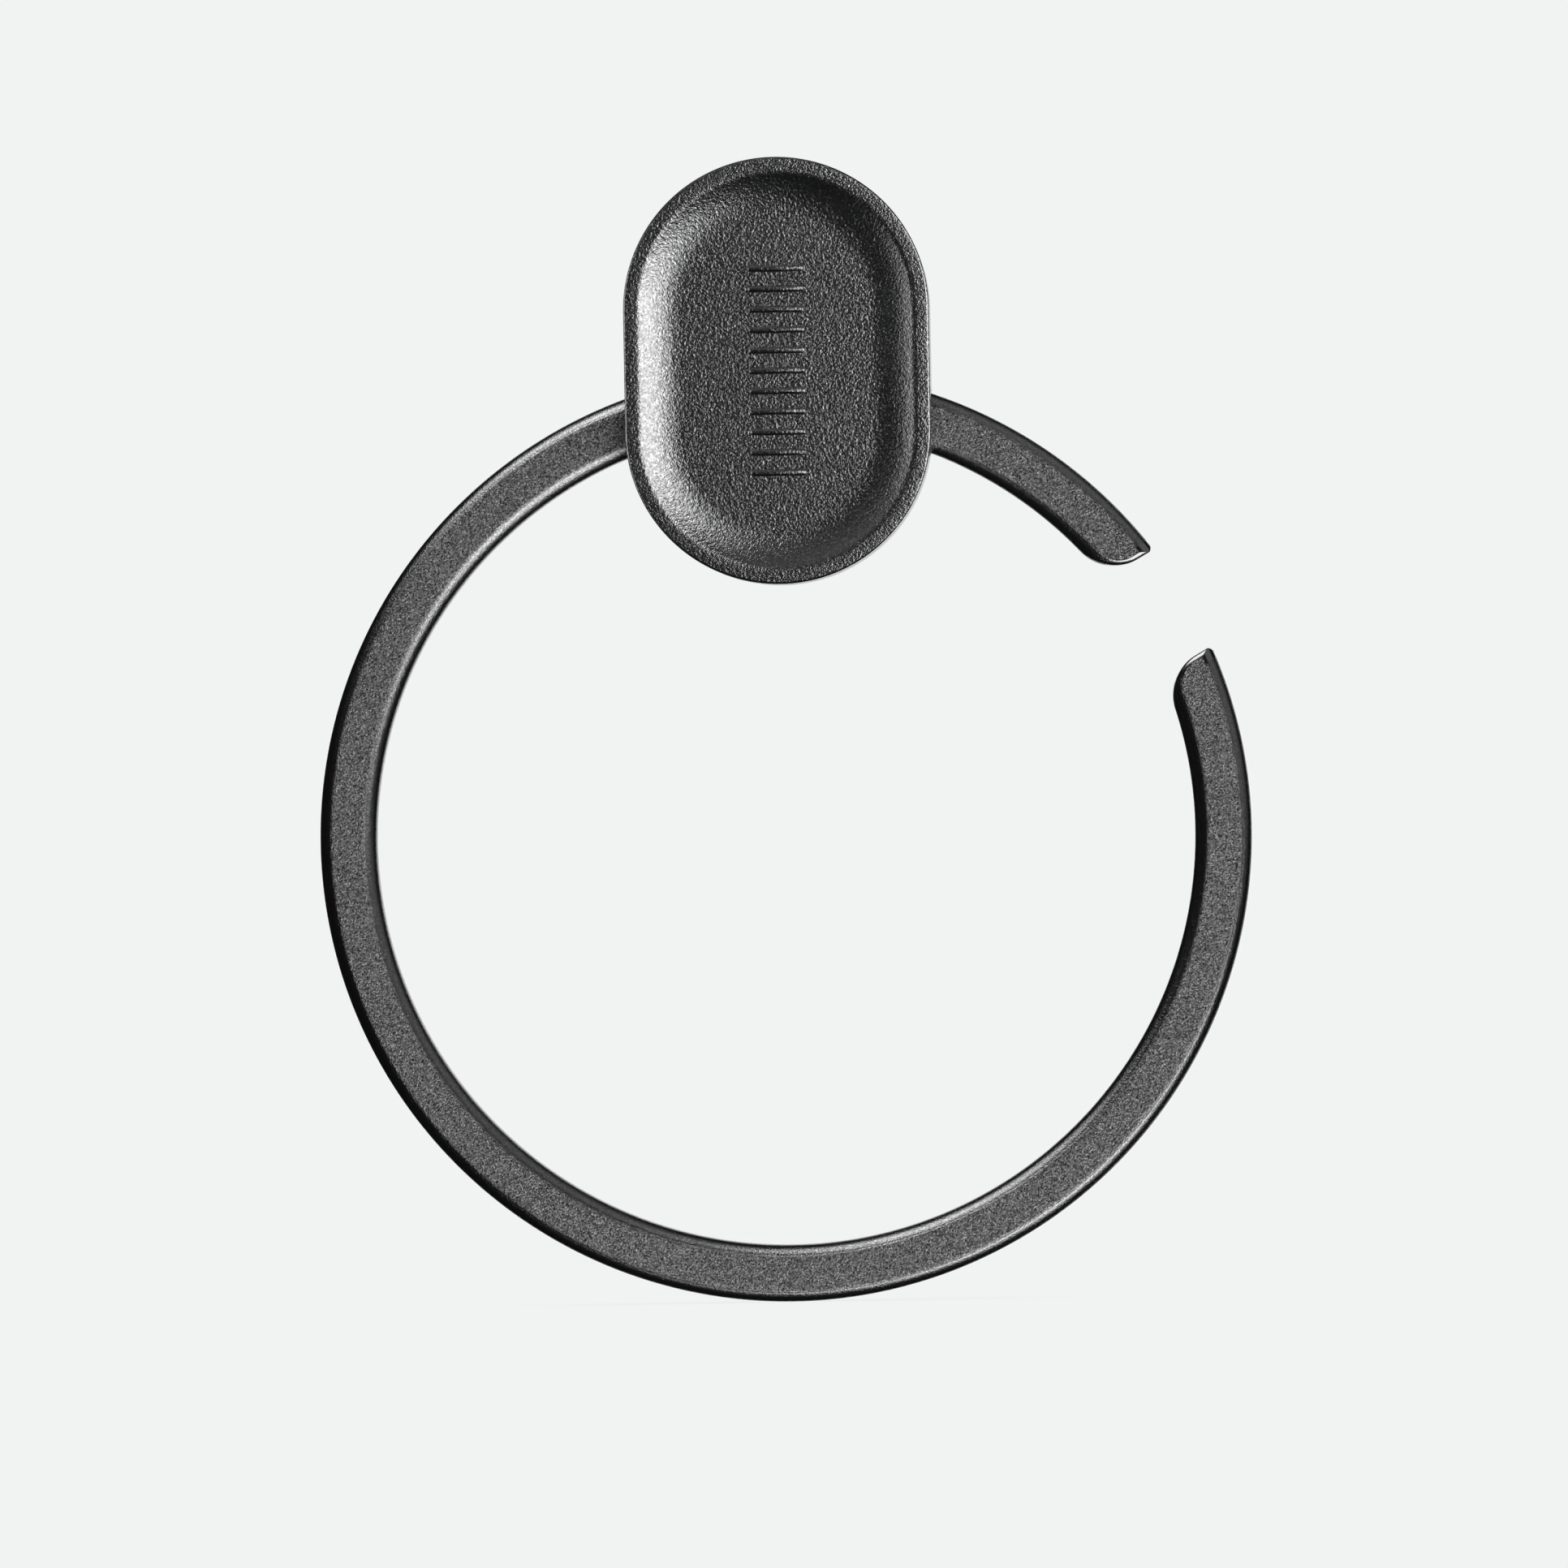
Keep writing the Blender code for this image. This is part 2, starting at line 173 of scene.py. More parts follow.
class KeyRingFinish(bpy.types.PropertyGroup):
    """Colours and grain of the coatings."""
    # The dark colour also fills the grain's hollows and the fleck colour its pebble tops: painted
    # shade and light that follow the relief, on top of the real metal flecks.
    band_dark: colour("Band Dark", (0.03, 0.03, 0.03), "Coating between the band's flecks")
    band_fleck_and_lit_tops: colour("Band Fleck", (0.55, 0.55, 0.55), "Metal flecks in the band's coating")
    band_edge: colour("Band Edge", (0.26, 0.26, 0.26), "Coating on the band's rounded edges")
    band_grain: size("Band Grain", 0.062 * MM, "Size of the band's grain")
    band_relief: size("Band Relief", 0.036 * MM, "Height of the band's grain")
    band_roughness: share("Band Roughness", 0.30, "Roughness of the band's grainy faces")
    edge_roughness: share("Edge Roughness", 0.21, "Roughness of the band's smooth edges")
    edge_polish: share("Edge Polish", 0.65, "How far the grain is gone from the rounded edges")
    # Painted shade: the dark colour goes in the grain's hollows and the lighter one on the
    # pebbles' tops, mixed with the real flecks.
    grip_dark: colour("Grip Dark", (0.16, 0.16, 0.16), "Coating in the grip's hollows")
    grip_fleck_and_lit_tops: colour("Grip Fleck", (0.30, 0.30, 0.30), "Coating on the grip's high spots")
    grip_grain: size("Grip Grain", 0.10 * MM, "Size of the grip's pebbled grain")
    grip_relief: size("Grip Relief", 0.022 * MM, "Height of the grip's grain")
    grip_roughness: share("Grip Roughness", 0.262, "Roughness of the grip's coating")


class KeyRingStage(bpy.types.PropertyGroup):
    """Camera, ground and lights."""
    ground: colour("Ground", (0.8774, 0.8963, 0.8880), "Pale ground and background")
    contact_reach: size("Contact Reach", 3 * MM, "How far the shade under a touching piece goes")
    contact_shade: share("Contact Shade", 0.93, "Brightness that the darkest shade keeps")
    glow: share("Glow", 0.012, "Brightness of the surroundings in reflections")
    view_width: size("View Width", 53.82 * MM, "Width of the view at the band's front face")
    distance: size("Distance", 800 * MM, "Camera to the band's front face")
    roll: turn("Roll", 1.0, "How far the picture leans to the left")
    swing: turn("Swing", 0.9, "How far the camera stands round to the right")
    aim_x: size("Aim Across", -0.033 * MM, "Middle of the picture, from the band's axis")
    aim_z: size("Aim Up", 1.782 * MM, "Middle of the picture, above the band's axis")


# Node and mesh helpers -----------------------------------------------------------

def add_node(tree, kind, inputs=None, **settings):
    """A node with its settings, and its inputs set, or linked where a socket is given."""
    made = tree.nodes.new(kind)
    for key, value in settings.items():
        setattr(made, key, value)
    for key, value in (inputs or {}).items():
        if isinstance(value, bpy.types.NodeSocket):
            tree.links.new(value, made.inputs[key])
        else:
            made.inputs[key].default_value = value
    return made


def math(tree, operation, *values):
    made = add_node(tree, "ShaderNodeMath", dict(enumerate(values)), operation=operation)
    return made.outputs[0]


def vector(tree, **parts):
    """A vector from its X, Y and Z; what isn't given is zero."""
    return add_node(tree, "ShaderNodeCombineXYZ", parts).outputs[0]


def ramp(tree, value, none, full):
    """0 where the value is none, rising to 1 where it is full."""
    return add_node(tree, "ShaderNodeMapRange",
                    {"Value": value, "From Min": none, "From Max": full}).outputs[0]


def own_position(tree):
    """The X, Y and Z of the point that a Geometry Nodes tree is working on."""
    spot = add_node(tree, "GeometryNodeInputPosition").outputs[0]
    return add_node(tree, "ShaderNodeSeparateXYZ", {0: spot}).outputs


def new_geometry_tree(name, sockets):
    """A Geometry Nodes tree with named inputs, its group input and its output."""
    tree = bpy.data.node_groups.new(name, "GeometryNodeTree")
    for label, kind in sockets:
        tree.interface.new_socket(label, in_out="INPUT", socket_type=kind)
    tree.interface.new_socket("Geometry", in_out="OUTPUT", socket_type="NodeSocketGeometry")
    return tree, tree.nodes.new("NodeGroupInput").outputs, tree.nodes.new("NodeGroupOutput")


def finish_geometry(tree, given, output, geometry):
    """Ends a tree with real geometry and its material."""
    real = add_node(tree, "GeometryNodeRealizeInstances", {0: geometry})
    painted = add_node(tree, "GeometryNodeSetMaterial",
                       {"Geometry": real.outputs[0], "Material": given["Material"]})
    tree.links.new(painted.outputs[0], output.inputs[0])


def run_geometry(name, tree, values):
    """The plain mesh object that a Geometry Nodes tree makes from these values."""
    maker = bpy.data.objects.new(name + "_maker", bpy.data.meshes.new(name + "_maker"))
    bpy.context.scene.collection.objects.link(maker)
    modifier = maker.modifiers.new("make", "NODES")
    modifier.node_group = tree
    for item in tree.interface.items_tree:
        if item.in_out == "INPUT" and item.name in values:
            modifier[item.identifier] = values[item.name]
    bpy.context.view_layer.update()
    evaluated = maker.evaluated_get(bpy.context.evaluated_depsgraph_get())
    mesh = bpy.data.meshes.new_from_object(evaluated)
    bpy.data.objects.remove(maker)
    close_up(mesh)
    return add_object(name, mesh)


def add_object(name, mesh):
    made = bpy.data.objects.new(name, mesh)
    bpy.context.scene.collection.objects.link(made)
    return made


def add_shape(name, shape):
    """An object from a bmesh, which is freed."""
    mesh = bpy.data.meshes.new(name)
    shape.to_mesh(mesh)
    shape.free()
    return add_object(name, mesh)


def close_up(mesh):
    """Merges a mesh's seams and points its faces outwards."""
    shape = bmesh.new()
    shape.from_mesh(mesh)
    bmesh.ops.remove_doubles(shape, verts=shape.verts, dist=WELD)
    bmesh.ops.recalc_face_normals(shape, faces=shape.faces)
    shape.to_mesh(mesh)
    shape.free()


def smooth(piece, crease=30):
    """Smooth shading, broken at edges that bend more than the crease, in degrees."""
    piece.data.shade_smooth()
    piece.data.set_sharp_from_angle(angle=radians(crease))
    return piece


def crisp_faces(piece, reach):
    """Keeps the shading of flat front and back faces from leaning at their outlines."""
    points = piece.data.vertices
    for edge in piece.data.edges:
        if all(abs(abs(points[i].co.y) - reach) < WELD for i in edge.vertices):
            edge.use_edge_sharp = True


def cut(piece, cutters):
    """Takes the cutters out of a piece for good, and removes them."""
    for cutter in cutters:
        modifier = piece.modifiers.new("cut", "BOOLEAN")
        modifier.operation = "DIFFERENCE"
        modifier.solver = "EXACT"
        modifier.object = cutter
    bpy.context.view_layer.update()
    evaluated = piece.evaluated_get(bpy.context.evaluated_depsgraph_get())
    mesh = bpy.data.meshes.new_from_object(evaluated)
    piece.modifiers.clear()
    piece.data = mesh
    for cutter in cutters:
        bpy.data.objects.remove(cutter)
    return piece


def place(points, height):
    """Face-plane points, seen from the front, at a height towards the front."""
    return [Vector((p[0], -height, AXIS.z + p[1])) for p in points]


def loft(name, rings):
    """A closed solid through matching rings of points, with flat ends."""
    shape = bmesh.new()
    loops = [[shape.verts.new(point) for point in ring] for ring in rings]
    for low, high in zip(loops, loops[1:]):
        for i in range(len(low)):
            j = (i + 1) % len(low)
            shape.faces.new((low[i], low[j], high[j], high[i]))
    shape.faces.new(loops[0])
    shape.faces.new(loops[-1])
    bmesh.ops.recalc_face_normals(shape, faces=shape.faces)
    return add_shape(name, shape)


def arc(centre, radius, start, end, steps):
    """Points along an arc, both ends included."""
    turns = [start + (end - start) * i / steps for i in range(steps + 1)]
    return [Vector((centre[0] + radius * cos(a), centre[1] + radius * sin(a))) for a in turns]


def block(name, low, high):
    """A box from its lowest to its highest corner."""
    shape = bmesh.new()
    bmesh.ops.create_cube(shape, size=1.0)
    bmesh.ops.scale(shape, vec=high - low, verts=shape.verts)
    bmesh.ops.translate(shape, vec=(low + high) / 2, verts=shape.verts)
    return add_shape(name, shape)


def rod(name, centre, radius, length, segments=48):
    """A round bar from front to back."""
    shape = bmesh.new()
    bmesh.ops.create_cone(shape, cap_ends=True, segments=segments, radius1=radius,
                          radius2=radius, depth=length)
    bmesh.ops.rotate(shape, matrix=Matrix.Rotation(pi / 2, 3, "X"), verts=shape.verts)
    bmesh.ops.translate(shape, vec=centre, verts=shape.verts)
    return add_shape(name, shape)


# Materials -----------------------------------------------------------------------

GRAIN_TURN = Euler((0.6, 0.9, 0.4))  # so that no face lies along the grain's cells


def grain_group():
    """A coating's grain: pebbles, and flecks of metal that sparkle between them. The colour is
    also darker in the pebbles' hollows and lighter on their tops, as painted shade that follows
    the relief.
    """
    found = bpy.data.node_groups.get("coating_grain")
    if found:
        return found
    tree = bpy.data.node_groups.new("coating_grain", "ShaderNodeTree")
    for label, kind in (("Grain Size", "Float"), ("Dark", "Color"), ("Fleck", "Color"),
                        ("Fleck Share", "Float"), ("Smooth", "Float"), ("Smooth Color", "Color"),
                        ("Roughness", "Float"), ("Smooth Roughness", "Float")):
        tree.interface.new_socket(label, in_out="INPUT", socket_type="NodeSocket" + kind)
    for label, kind in (("Color", "Color"), ("Roughness", "Float"), ("Height", "Float")):
        tree.interface.new_socket(label, in_out="OUTPUT", socket_type="NodeSocket" + kind)
    given = tree.nodes.new("NodeGroupInput").outputs
    output = tree.nodes.new("NodeGroupOutput").inputs

    where = add_node(tree, "ShaderNodeTexCoord").outputs["Object"]
    fineness = math(tree, "DIVIDE", 1.0, given["Grain Size"])
    turned = add_node(tree, "ShaderNodeVectorRotate", {"Vector": where, "Rotation": GRAIN_TURN},
                      rotation_type="EULER_XYZ").outputs[0]
    grown = add_node(tree, "ShaderNodeVectorMath", {0: turned, "Scale": fineness},
                     operation="SCALE").outputs[0]
    pebbles = add_node(tree, "ShaderNodeTexNoise",
                       {"Vector": grown, "Scale": 1.0, "Detail": 2.0, "Roughness": 0.55,
                        "Distortion": 0.3}).outputs[0]
    grit = add_node(tree, "ShaderNodeTexNoise",
                    {"Vector": grown, "Scale": 2.3, "Detail": 1.0}).outputs[0]
    cells = add_node(tree, "ShaderNodeTexVoronoi",
                     {"Vector": grown, "Scale": 1.6}).outputs["Color"]
    pick = add_node(tree, "ShaderNodeSeparateColor", {0: cells}).outputs[0]
    rough_part = math(tree, "SUBTRACT", 1.0, given["Smooth"])

    fleck = ramp(tree, pick, math(tree, "SUBTRACT", 1.0, given["Fleck Share"]), 1.0)
    # Painted shade: the colour is lighter on the pebbles' tops and darker in their hollows,
    # following the grain's height.
    painted_hollow_shade = ramp(tree, pebbles, 0.35, 0.75)
    # Mixes the random metal flecks with the painted shade of the pebbles.
    flecks_and_painted_shade = math(tree, "ADD", math(tree, "MULTIPLY", fleck, 0.55),
                 math(tree, "MULTIPLY", painted_hollow_shade, 0.45))
    speckled = add_node(tree, "ShaderNodeMix",
                        {0: flecks_and_painted_shade, 6: given["Dark"], 7: given["Fleck"]},
                        data_type="RGBA", clamp_factor=True).outputs[2]
    coated = add_node(tree, "ShaderNodeMix",
                      {0: given["Smooth"], 6: speckled, 7: given["Smooth Color"]},
                      data_type="RGBA").outputs[2]
    tree.links.new(coated, output["Color"])

    roughness = add_node(tree, "ShaderNodeMix",
                         {0: given["Smooth"], 2: given["Roughness"],
                          3: given["Smooth Roughness"]}).outputs[0]
    tree.links.new(roughness, output["Roughness"])
    relief = math(tree, "ADD", pebbles, math(tree, "MULTIPLY", grit, 0.45))
    tree.links.new(math(tree, "MULTIPLY", relief, rough_part), output["Height"])
    return tree


def new_material(name):
    made = bpy.data.materials.new(name)
    made.use_nodes = True
    return made, made.node_tree, made.node_tree.nodes["Principled BSDF"]


def connect_grain(tree, shader, values, relief):
    """Places the grain group in a material and lets it drive the shader. A roughness that is
    the same all over goes straight on the shader."""
    grain = add_node(tree, "ShaderNodeGroup", node_tree=grain_group())
    for key, value in values.items():
        if isinstance(value, bpy.types.NodeSocket):
            tree.links.new(value, grain.inputs[key])
        else:
            grain.inputs[key].default_value = value
    bump = add_node(tree, "ShaderNodeBump",
                    {"Height": grain.outputs["Height"], "Strength": 1.0, "Distance": relief})
    tree.links.new(grain.outputs["Color"], shader.inputs["Base Color"])
    if isinstance(values["Smooth"], bpy.types.NodeSocket):
        tree.links.new(grain.outputs["Roughness"], shader.inputs["Roughness"])
    else:
        shader.inputs["Roughness"].default_value = values["Roughness"]
    tree.links.new(bump.outputs[0], shader.inputs["Normal"])


# Where the band's grain gives way to its smooth coating: depths below the flat face, on the
# rounded edges and on the bevels at the ends, and how far those bevels reach from the split.
EDGE_FADE = (0.004 * MM, 0.03 * MM)
END_FADE = (0.0005 * MM, 0.002 * MM)
END_REACH = (0.6 * MM, 0.35 * MM)
WALL_FADE = 1.3  # in edge radii below the flat face, where the wall's own grain is whole


def band_coating(finish, band):
    """Fine metallic grain on the flat faces and walls, smooth on the rounded edges and on the
    bevels at the ends."""
    made, tree, shader = new_material("band_coating")
    where = add_node(tree, "ShaderNodeTexCoord").outputs["Object"]
    apart = add_node(tree, "ShaderNodeSeparateXYZ", {0: where}).outputs
    height = math(tree, "ABSOLUTE", apart["Y"])
    top = band.thickness / 2
    off_face = ramp(tree, height, *(top - depth for depth in EDGE_FADE))
    off_wall = ramp(tree, height, top - WALL_FADE * band.edge_r, top - band.edge_r)
    edges = math(tree, "MULTIPLY", math(tree, "MULTIPLY", off_face, off_wall),
                 finish.edge_polish)

    split = add_node(tree, "ShaderNodeVectorRotate",
                     {"Vector": where, "Center": AXIS, "Axis": (0, 1, 0),
                      "Angle": band.split_angle}, rotation_type="AXIS_ANGLE").outputs[0]
    across = add_node(tree, "ShaderNodeSeparateXYZ", {0: split}).outputs
    off_split = math(tree, "ABSOLUTE", math(tree, "SUBTRACT", across["Z"], AXIS.z))
    near_end = ramp(tree, off_split, *(band.split_width / 2 + away for away in END_REACH))
    off_end_face = ramp(tree, height, *(top - depth for depth in END_FADE))
    beyond = math(tree, "GREATER_THAN", across["X"], 0.0)
    ends = math(tree, "MULTIPLY", math(tree, "MULTIPLY", off_end_face, near_end), beyond)
    connect_grain(tree, shader, {
        "Grain Size": finish.band_grain, "Dark": (*finish.band_dark, 1),
        "Fleck": (*finish.band_fleck_and_lit_tops, 1), "Fleck Share": 0.55,
        "Smooth": math(tree, "MAXIMUM", edges, ends), "Smooth Color": (*finish.band_edge, 1),
        "Roughness": finish.band_roughness, "Smooth Roughness": finish.edge_roughness,
    }, relief=finish.band_relief)
    shader.inputs["Metallic"].default_value = 1.0
    return made


def grip_coating(finish):
    """Coarser pebbled grain all over the casting."""
    made, tree, shader = new_material("grip_coating")
    # The grain's hollows take the dark colour as painted shade, its pebble tops the lighter one.
    connect_grain(tree, shader, {
        "Grain Size": finish.grip_grain, "Dark": (*finish.grip_dark, 1),
        "Fleck": (*finish.grip_fleck_and_lit_tops, 1), "Fleck Share": 0.40, "Smooth": 0.0,
        "Roughness": finish.grip_roughness,
    }, relief=finish.grip_relief)
    shader.inputs["Metallic"].default_value = 1.0
    return made


def plain_coating(name, base, roughness, metallic, grain, relief):
    """A quiet finish with a faint grain, for what is inside the grip."""
    made, tree, shader = new_material(name)
    # The darker tone sits in the grain's hollows as painted shade, and between the random flecks.
    darker = tuple(0.8 * c for c in base)
    connect_grain(tree, shader, {
        "Grain Size": grain, "Dark": (*darker, 1), "Fleck": (*base, 1), "Fleck Share": 0.8,
        "Smooth": 0.0, "Roughness": roughness,
    }, relief=relief)
    shader.inputs["Metallic"].default_value = metallic
    return made


# Band ----------------------------------------------------------------------------

def split_end(band, inset, depth):
    """One end, from the inner edge round to the outer edge; the split's middle is +X. The
    edges are drawn in by inset, and the end face by its bevel's width at this depth."""
    start = tan(band.chamfer_start)
    bend = (tan(band.chamfer_end) - start) / band.chamfer
    drawn_in = band.chamfer - (sqrt(start ** 2 + 2 * bend * depth) - start) / bend
    face = band.split_width / 2 + (drawn_in + sqrt(drawn_in ** 2 + band.chamfer_soft ** 2)) / 2
    lead_in = band.lead_in_r - (band.lead_in_r - band.lead_in_keep) * inset / band.edge_r
    tip = max(band.tip_r - inset, band.least_r)
    lead_x = sqrt((band.inner_r + inset + lead_in) ** 2 - (face + lead_in) ** 2)
    outer_r = band.outer_r - inset * band.outer_edge / band.edge_r
    tip_x = sqrt((outer_r - tip) ** 2 - (face + tip) ** 2)
    lead_angle = atan2(face + lead_in, lead_x)
    tip_angle = atan2(face + tip, tip_x)
    steps = band.corner_steps
    inner = arc((lead_x, face + lead_in), lead_in, pi + lead_angle, 1.5 * pi, steps)
    outer = arc((tip_x, face + tip), tip, -pi / 2, tip_angle, steps)
    return inner + outer, lead_angle, tip_angle


def band_outline(band, inset, depth):
    """The C-shaped outline at a depth below the flat face, drawn in from the real edge."""
    end, inner_angle, outer_angle = split_end(band, inset, depth)
    mirrored = [Vector((p.x, -p.y)) for p in reversed(end)]
    outer = arc((0, 0), band.outer_r - inset * band.outer_edge / band.edge_r, outer_angle,
                2 * pi - outer_angle, band.round_steps)
    inner = arc((0, 0), band.inner_r + inset, 2 * pi - inner_angle, inner_angle,
                band.round_steps)
    spin = Matrix.Rotation(band.split_angle, 2)
    return [spin @ p for p in end + outer[1:-1] + mirrored + inner[1:-1]]


def rounded_edge(radius, top, steps):
    """(inset, height) from an upright side up round its edge to the flat face at top."""
    turns = [pi / 2 * i / steps for i in range(steps + 1)]
    return [(radius * (1 - cos(a)), top - radius * (1 - sin(a))) for a in turns]


def notch_cutter(band, latch):
    """The room in the band's inner edge that the latch's blade rises into."""
    roof_r = LATCH_HIGH.z - AXIS.z + LATCH_TRAVEL + band.notch_clearance
    spread = atan2(band.notch_half, roof_r)
    roof = arc((0, 0), roof_r, pi / 2 - spread, pi / 2 + spread, band.corner_steps)
    depth = latch.blade_thickness / 2 + band.notch_clearance
    side = LATCH_TRAVEL + 2 * band.notch_clearance
    side_x = roof[0].x + LATCH_TRAVEL
    foot_y = roof[0].y - 3 * side  # well past the band's inner edge
    right = [Vector((side_x, foot_y)), Vector((side_x, roof[0].y - side))]
    left = [Vector((-p.x, p.y)) for p in reversed(right)]
    outline = right + roof + left
    return loft("notch", [place(outline, -depth), place(outline, depth)])


def make_band(settings):
    band = settings.key_ring_band
    front = rounded_edge(band.edge_r, band.thickness / 2, band.edge_steps)
    back = [(inset, -height) for inset, height in reversed(front)]
    rings = [place(band_outline(band, inset, band.thickness / 2 - abs(height)), height)
             for inset, height in back + front]
    piece = cut(loft("coated_band", rings), [notch_cutter(band, settings.key_ring_latch)])
    smooth(piece)
    crisp_faces(piece, band.thickness / 2)
    piece.data.materials.clear()
    piece.data.materials.append(band_coating(settings.key_ring_finish, band))
    lit_group("band_light").objects.link(piece)
    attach(piece, "band")
    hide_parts("split_band")


# Grip ----------------------------------------------------------------------------

def pill_path(tree, given, inset):
    """A circle pulled apart into the grip's outline, drawn in by inset. It is turned by half a
    step, so that no point stands in the middle of a straight side and bends it there."""
    radius = math(tree, "SUBTRACT", given["End Radius"], inset)
    circle = add_node(tree, "GeometryNodeCurvePrimitiveCircle",
                      {"Resolution": given["Round Steps"], "Radius": radius}).outputs[0]
    half_step = vector(tree, Z=math(tree, "DIVIDE", pi, given["Round Steps"]))
    turned = add_node(tree, "GeometryNodeTransform",
                      {"Geometry": circle, "Rotation": half_step}).outputs[0]
    side = math(tree, "SIGN", own_position(tree)["Y"])
    shift = math(tree, "MULTIPLY", side, math(tree, "MULTIPLY", given["Straight"], 0.5))
    return add_node(tree, "GeometryNodeSetPosition",
                    {"Geometry": turned, "Offset": vector(tree, Y=shift)}).outputs[0]


def shell_tree():
    """A shell swept round the pill: side, rounded edge, rim, lip and dish, then its floor."""
    names = ("End Radius", "Straight", "Seam", "Seam Bevel", "Face", "Edge Radius",
             "Crown Width", "Crown Fall", "Crown Radius", "Rim Width", "Lip Radius",
             "Dish Depth", "Wall Angle", "Centre Height", "Turn")
    tree, given, output = new_geometry_tree(
        "dished_shell", [(name, "NodeSocketFloat") for name in names]
        + [("Round Steps", "NodeSocketInt"), ("Edge Steps", "NodeSocketInt"),
           ("Material", "NodeSocketMaterial")])

    # The wall's slope runs long enough for the lip's and the dish's bends to meet.
    half_slope = math(tree, "TANGENT", math(tree, "MULTIPLY", given["Wall Angle"], 0.5))
    sine = math(tree, "SINE", given["Wall Angle"])
    cosine = math(tree, "COSINE", given["Wall Angle"])
    slope = math(tree, "DIVIDE", given["Dish Depth"], sine)
    dish_r = math(tree, "SUBTRACT", math(tree, "DIVIDE", slope, half_slope), given["Lip Radius"])
    reach = math(tree, "MULTIPLY", slope, cosine)
    foot_inset = math(tree, "ADD", given["Rim Width"], reach)
    floor_inset = math(tree, "ADD", foot_inset, slope)
    floor_height = math(tree, "SUBTRACT", given["Face"], given["Dish Depth"])

    def corner(height, inset):
        return vector(tree, X=math(tree, "MULTIPLY", inset, -1.0),
                      Y=math(tree, "MULTIPLY", height, -1.0))

    corners = [corner(given["Seam"], given["Seam Bevel"]),
               corner(math(tree, "ADD", given["Seam"], given["Seam Bevel"]), 0.0),
               corner(math(tree, "SUBTRACT", given["Face"], given["Crown Fall"]), 0.0),
               corner(given["Face"], given["Crown Width"]),
               corner(given["Face"], given["Rim Width"]),
               corner(floor_height, foot_inset),
               corner(floor_height, floor_inset)]
    bends = [0.0, 0.0, given["Edge Radius"], given["Crown Radius"], given["Lip Radius"], dish_r,
             0.0]
    index = add_node(tree, "GeometryNodeInputIndex").outputs[0]
    spot = index_switch(tree, "VECTOR", index, corners)
    bend = index_switch(tree, "FLOAT", index, bends)
    line = add_node(tree, "GeometryNodeCurvePrimitiveLine").outputs[0]
    points = add_node(tree, "GeometryNodeResampleCurve",
                      {"Curve": line, "Count": len(corners)}).outputs[0]
    bent = add_node(tree, "GeometryNodeSetPosition",
                    {"Geometry": points, "Position": spot}).outputs[0]
    profile = add_node(tree, "GeometryNodeFilletCurve",
                       {"Curve": bent, "Count": given["Edge Steps"], "Radius": bend,
                        "Limit Radius": True}, mode="POLY").outputs[0]

    wall = add_node(tree, "GeometryNodeCurveToMesh",
                    {"Curve": pill_path(tree, given, 0.0), "Profile Curve": profile}).outputs[0]
    floor = filled(tree, pill_path(tree, given, floor_inset), floor_height)
    under = filled(tree, pill_path(tree, given, given["Seam Bevel"]), given["Seam"])
    joined = add_node(tree, "GeometryNodeJoinGeometry")
    for part in (wall, floor, under):
        tree.links.new(part, joined.inputs[0])
    whole = add_node(tree, "GeometryNodeMergeByDistance",
                     {"Geometry": joined.outputs[0], "Distance": 2 * WELD}).outputs[0]

    upright = add_node(tree, "GeometryNodeTransform",
                       {"Geometry": whole, "Rotation": Euler((pi / 2, 0, 0))}).outputs[0]
    placed = add_node(tree, "GeometryNodeTransform",
                      {"Geometry": upright, "Rotation": vector(tree, Z=given["Turn"]),
                       "Translation": vector(tree, Z=given["Centre Height"])}).outputs[0]
    finish_geometry(tree, given, output, placed)
    return tree


def index_switch(tree, kind, index, items):
    """Picks one of the items by number."""
    made = add_node(tree, "GeometryNodeIndexSwitch", data_type=kind)
    while len(made.index_switch_items) < len(items):
        made.index_switch_items.new()
    tree.links.new(index, made.inputs["Index"])
    for socket, item in zip(list(made.inputs)[1:], items):
        if isinstance(item, bpy.types.NodeSocket):
            tree.links.new(item, socket)
        else:
            socket.default_value = item
    return made.outputs[0]


def filled(tree, path, height):
    """A flat face inside a path, raised to a height."""
    flat = add_node(tree, "GeometryNodeFillCurve", {"Curve": path}, mode="NGONS").outputs[0]
    return add_node(tree, "GeometryNodeTransform",
                    {"Geometry": flat, "Translation": vector(tree, Z=height)}).outputs[0]


def grip_cutters(grip, band, latch):
    """The band's channel, the latch's pocket, the blade's slot and the dowels' bores."""
    half_depth = -LINER_LOW.y + grip.liner_room
    outer = arc((0, 0), band.outer_r + grip.band_room, 0, pi, grip.round_steps)
    inner = arc((0, 0), band.inner_r - grip.band_room, pi, 0, grip.round_steps)
    channel = loft("channel", [place(outer + inner, height)
                               for height in (-half_depth, half_depth)])

    room = Vector((1.5 * grip.band_room, grip.band_room, 0))
    blade_foot = LATCH_LOW.z + latch.peg_length + latch.body_height
    roof = blade_foot + LATCH_TRAVEL + grip.liner_room
    pocket = block("pocket", Vector((LATCH_LOW.x, LATCH_LOW.y, SPRING_LOW.z)) - room,
                   Vector((LATCH_HIGH.x, LATCH_HIGH.y, roof)) + room)
    half_width = latch.blade_width / 2 + grip.band_room
    half_thickness = latch.blade_thickness / 2 + grip.liner_room
    slot = block("slot", Vector((-half_width, -half_thickness, blade_foot)),
                 Vector((half_width, half_thickness, blade_foot + latch.slot_height)))

    bores = []
    for name in DOWELS:
        low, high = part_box(name)
        radius = (high.x - low.x) / 2 + grip.dowel_room
        length = high.y - low.y + 4 * grip.dowel_room
        bores.append(rod("bore", (low + high) / 2, radius, length))
    return [channel, pocket, slot, *bores]


